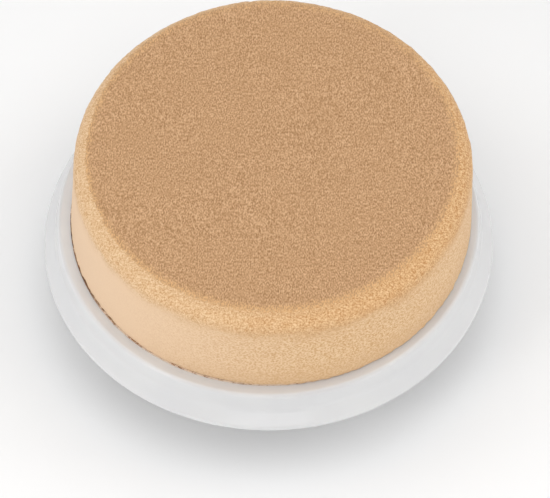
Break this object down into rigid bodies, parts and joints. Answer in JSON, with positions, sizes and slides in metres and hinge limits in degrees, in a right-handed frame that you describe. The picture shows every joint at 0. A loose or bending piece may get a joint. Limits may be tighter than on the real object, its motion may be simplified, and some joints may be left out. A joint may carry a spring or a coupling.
{
  "type": "sponge applicator head",
  "caption": "Round foam sponge applicator head on a stepped white moulded carrier, with a snap-in hub and a central drive bore.",
  "frame": {"origin": "centre of the hub's end face, the lowest point of the part, on the axis of the drive bore", "axes": "+Z along the bore's axis, out through the foam's working face; one snap hook lies on +Y"},
  "size_m": [0.03, 0.03, 0.015],
  "materials": {
    "carrier_plastic": "gloss",
    "acetal": "satin",
    "adhesive": "matte",
    "cream_foam": "matte",
    "tan_face": "matte"
  },
  "bodies": {
    "base": {"carrier": "carrier_plastic", "drive_insert": "acetal", "adhesive_disc": "adhesive", "foam_body": "cream_foam"},
    "hook_1": {"snap_hook_1": "carrier_plastic"},
    "hook_2": {"snap_hook_2": "carrier_plastic"},
    "hook_3": {"snap_hook_3": "carrier_plastic"},
    "working_face": {"face_layer": "tan_face"}
  },
  "joints": [
    {"name": "face_press", "type": "slide", "parent": "base", "child": "working_face", "axis": [0, 0, -1], "range_m": [0, 0.003], "stiffness_N_per_m": 1200, "deforming": ["foam_body"]},
    {"name": "hook_1_flex", "type": "hinge", "parent": "base", "child": "hook_1", "pos_m": [0, 0.00505, 0.004], "axis": [-1, 0, 0], "range_deg": [0, 6], "stiffness_Nm_per_rad": 0.12},
    {"name": "hook_2_flex", "type": "hinge", "parent": "base", "child": "hook_2", "pos_m": [-0.00437, -0.00252, 0.004], "axis": [0.5, -0.866, 0], "range_deg": [0, 6], "stiffness_Nm_per_rad": 0.12},
    {"name": "hook_3_flex", "type": "hinge", "parent": "base", "child": "hook_3", "pos_m": [0.00437, -0.00252, 0.004], "axis": [0.5, 0.866, 0], "range_deg": [0, 6], "stiffness_Nm_per_rad": 0.12}
  ]
}
